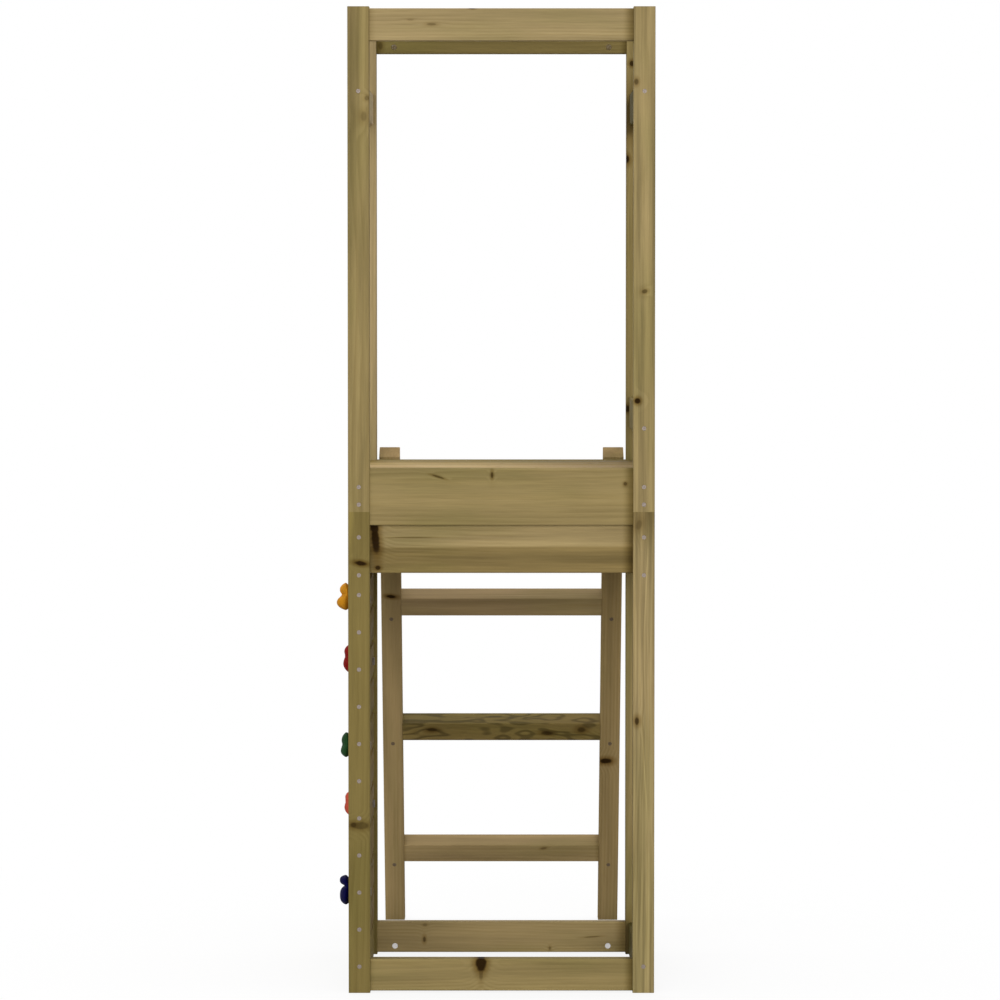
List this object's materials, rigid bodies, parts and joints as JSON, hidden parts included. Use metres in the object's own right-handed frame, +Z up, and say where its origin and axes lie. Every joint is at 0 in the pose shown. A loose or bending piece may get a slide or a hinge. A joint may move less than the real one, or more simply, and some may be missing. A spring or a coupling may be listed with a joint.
{
  "type": "wooden climbing frame",
  "caption": "Free-standing wooden play tower with a raised deck, an open frame above it, a slatted climbing wall with moulded holds on one side and a leaning ladder at the back.",
  "frame": {"origin": "on the floor, under the middle of the whole outline", "axes": "+Z up, +Y from the front of the tower to the ladder at the back, +X to the right seen from the front"},
  "size_m": [0.5487, 0.897, 1.69],
  "materials": {
    "pine": "pressure-impregnated planed pine, matt",
    "zinc_steel": "zinc-plated",
    "orange_plastic": "moulded, fine grain",
    "red_plastic": "moulded, fine grain",
    "green_plastic": "moulded, fine grain",
    "coral_plastic": "moulded, fine grain",
    "blue_plastic": "moulded, fine grain"
  },
  "bodies": {
    "root": {"upper_post_front_left": "pine", "upper_post_front_right": "pine", "upper_post_rear_left": "pine", "upper_post_rear_right": "pine", "lower_post_front_left": "pine", "lower_post_front_right": "pine", "lower_post_rear_left": "pine", "lower_post_rear_right": "pine", "post_dowels": "pine", "top_rail_front": "pine", "top_rail_rear": "pine", "bottom_rail_front": "pine", "bottom_rail_rear": "pine", "bottom_rail_left": "pine", "bottom_rail_right": "pine", "guard_rail_left": "pine", "guard_rail_right_top": "pine", "guard_rail_right_low": "pine", "deck_board_front_upper": "pine", "deck_board_front_lower": "pine", "deck_board_rear_upper": "pine", "deck_board_rear_lower": "pine", "side_board_left": "pine", "side_board_right": "pine", "deck_bearer_left": "pine", "deck_bearer_right": "pine", "deck_plank_1": "pine", "deck_plank_2": "pine", "deck_plank_3": "pine", "deck_plank_4": "pine", "climbing_slat_1": "pine", "climbing_slat_2": "pine", "climbing_slat_3": "pine", "climbing_slat_4": "pine", "climbing_slat_5": "pine", "climbing_slat_6": "pine", "climbing_slat_7": "pine", "climbing_slat_8": "pine", "climbing_slat_9": "pine", "climbing_slat_10": "pine", "ladder_stringer_left": "pine", "ladder_stringer_right": "pine", "ladder_rung_1": "pine", "ladder_rung_2": "pine", "ladder_rung_3": "pine", "climbing_hold_orange": "orange_plastic", "climbing_hold_red": "red_plastic", "climbing_hold_green": "green_plastic", "climbing_hold_coral": "coral_plastic", "climbing_hold_blue": "blue_plastic", "hold_bolts": "zinc_steel", "hold_nuts": "zinc_steel", "rail_bolts": "zinc_steel", "barrel_nuts": "zinc_steel", "side_screws": "zinc_steel", "board_screws": "zinc_steel", "deck_screws": "zinc_steel", "ladder_screws": "zinc_steel", "ladder_bolts": "zinc_steel"}
  },
  "joints": []
}
